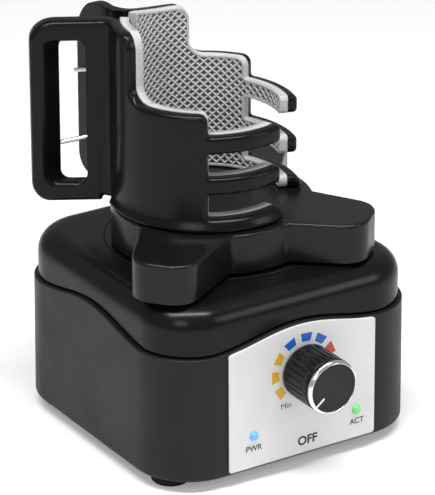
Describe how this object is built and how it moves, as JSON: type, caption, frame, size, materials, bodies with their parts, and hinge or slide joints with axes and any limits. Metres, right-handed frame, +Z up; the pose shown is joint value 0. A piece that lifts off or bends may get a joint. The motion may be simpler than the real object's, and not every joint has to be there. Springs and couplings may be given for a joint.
{
  "type": "bottle shaker machine",
  "caption": "Desktop orbital shaker for small bottles: square base with speed knob, lobed orbiting head and two sprung padded clamp jaws with handles.",
  "frame": {"origin": "middle of the square base, on the table under the feet", "axes": "+Z up along the motor axis, -Y towards the control panel, +X to the right seen from the front"},
  "size_m": [0.1329, 0.1536, 0.182],
  "materials": {
    "black_plastic": "satin moulded black plastic",
    "cover_plastic": "satin moulded black plastic, a little glossier",
    "jaw_plastic": "satin moulded black plastic",
    "rubber_black": "soft black rubber",
    "rubber_grey": "light grey rubber with a diamond grid",
    "panel_metal": "satin silver-grey plate with a lighter rim",
    "steel": "bright machined steel",
    "zinc": "zinc plated steel",
    "knob_black": "black fluted plastic",
    "knob_silver": "turned aluminium",
    "knob_disc": "spun black anodised face",
    "white_mark": "white printed mark",
    "blue_lamp": "clear blue lamp",
    "green_lamp": "clear green lamp",
    "board_green": "green circuit board",
    "part_black": "black component body",
    "cap_blue": "blue sleeve",
    "terminal_green": "green terminal block",
    "lead": "red and black insulated leads"
  },
  "bodies": {
    "base": {"lower_housing": "black_plastic", "foot_1": "rubber_black", "foot_2": "rubber_black", "foot_3": "rubber_black", "foot_4": "rubber_black", "foot_screws": "zinc", "top_cover": "cover_plastic", "cover_screws": "zinc", "control_panel": "panel_metal", "power_led": "blue_lamp", "active_led": "green_lamp", "control_board": "board_green", "board_screws": "zinc", "board_chip": "part_black", "board_capacitor": "cap_blue", "board_mosfet": "part_black", "board_terminal": "terminal_green", "potentiometer": "zinc", "pot_nut": "zinc", "motor": "zinc", "motor_mount": "zinc", "motor_screws": "zinc", "mount_screws": "zinc", "dc_jack": "black_plastic", "jack_nut": "zinc", "motor_leads": "lead", "jack_leads": "lead", "isolator_1": "rubber_black", "isolator_2": "rubber_black", "isolator_3": "rubber_black", "isolator_4": "rubber_black", "isolator_studs": "zinc"},
    "knob": {"speed_knob": "knob_black", "knob_ring": "knob_silver", "knob_face": "knob_disc", "knob_pointer": "white_mark", "pot_shaft": "steel", "knob_screw": "zinc"},
    "crank": {"motor_shaft": "steel", "crank_hub": "zinc", "counterweight": "zinc", "crank_screw": "zinc", "crank_clip": "steel"},
    "head": {"turret": "cover_plastic", "head_bearing": "steel", "bearing_retainer": "zinc", "retainer_screws": "zinc", "pivot_pin": "steel", "pin_cap": "jaw_plastic", "torsion_spring": "steel"},
    "front_jaw_body": {"front_jaw": "jaw_plastic", "front_pad": "rubber_grey"},
    "rear_jaw_body": {"rear_jaw": "jaw_plastic", "rear_pad": "rubber_grey"}
  },
  "joints": [
    {"name": "knob_turn", "type": "hinge", "parent": "base", "child": "knob", "pos_m": [0.002, -0.075, 0.0456], "axis": [0, 1, 0], "range_deg": [0, 270]},
    {"name": "crank_spin", "type": "hinge", "parent": "base", "child": "crank", "pos_m": [0, 0, 0.07], "axis": [0, 0, 1], "continuous": true},
    {"name": "head_orbit", "type": "hinge", "parent": "crank", "child": "head", "pos_m": [-0.00117, 0.0015, 0.088], "axis": [0, 0, 1], "continuous": true},
    {"name": "front_jaw_swing", "type": "hinge", "parent": "head", "child": "front_jaw_body", "pos_m": [-0.02845, 0.03075, 0.14], "axis": [0, 0, 1], "range_deg": [-20, 10.5], "stiffness_Nm_per_rad": 0.4, "deforming": ["torsion_spring"]},
    {"name": "rear_jaw_swing", "type": "hinge", "parent": "head", "child": "rear_jaw_body", "pos_m": [-0.02845, 0.03075, 0.14], "axis": [0, 0, 1], "range_deg": [-10.5, 20]}
  ],
  "couplings": [
    {"joint": "head_orbit", "follows": "crank_spin", "ratio": -1},
    {"joint": "rear_jaw_swing", "follows": "front_jaw_swing", "ratio": -1}
  ]
}
